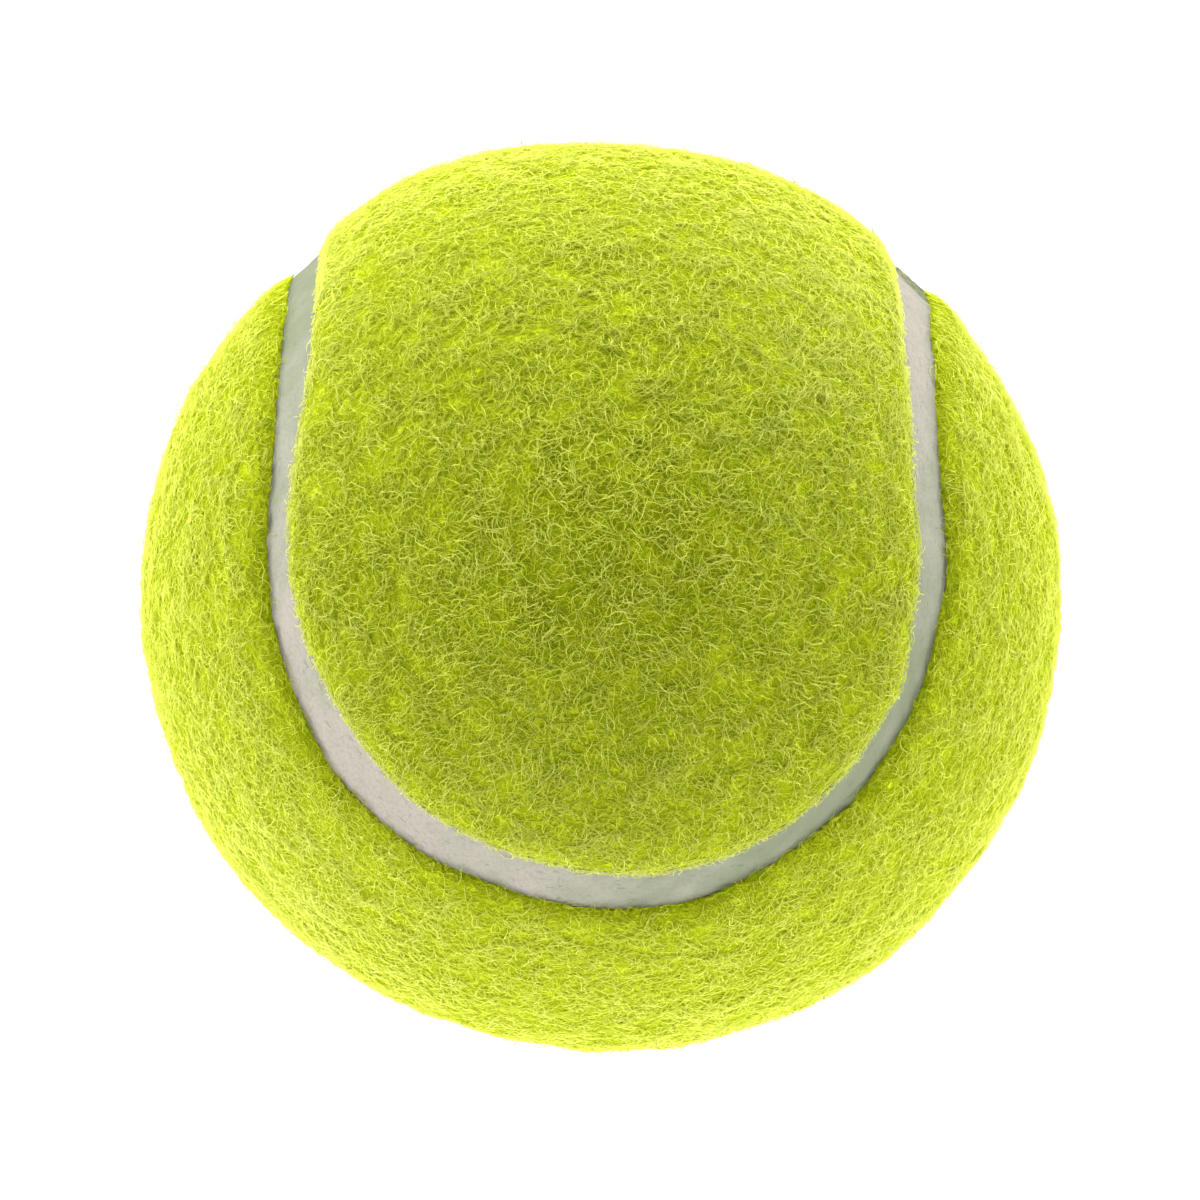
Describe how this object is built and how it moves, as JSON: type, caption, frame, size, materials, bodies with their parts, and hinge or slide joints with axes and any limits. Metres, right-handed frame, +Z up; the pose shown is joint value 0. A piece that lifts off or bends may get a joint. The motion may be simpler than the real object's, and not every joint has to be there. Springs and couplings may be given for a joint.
{
  "type": "tennis ball",
  "caption": "Felt-covered hollow rubber ball for court play, with dog-bone felt panels and a sunken curved rubber seam, lying on a surface.",
  "frame": {"origin": "centre of the ball", "axes": "+Z up, away from the surface that the ball lies on; +Z is also the axis of the core, whose halves meet at z = 0. The seam pattern is turned 20 degrees about X, so that one lobe of the first panel faces -Y and a little down"},
  "size_m": [0.067, 0.067, 0.067],
  "materials": {
    "core_rubber": "matte",
    "joint_cement": "satin",
    "panel_cement": "satin",
    "felt": "matte",
    "seam_rubber": "satin"
  },
  "bodies": {
    "root": {"core_half_upper": "core_rubber", "core_half_lower": "core_rubber", "core_joint_cement": "joint_cement", "panel_cement_a": "panel_cement", "panel_cement_b": "panel_cement", "felt_panel_a": "felt", "felt_panel_b": "felt", "seam_band": "seam_rubber"}
  },
  "joints": []
}
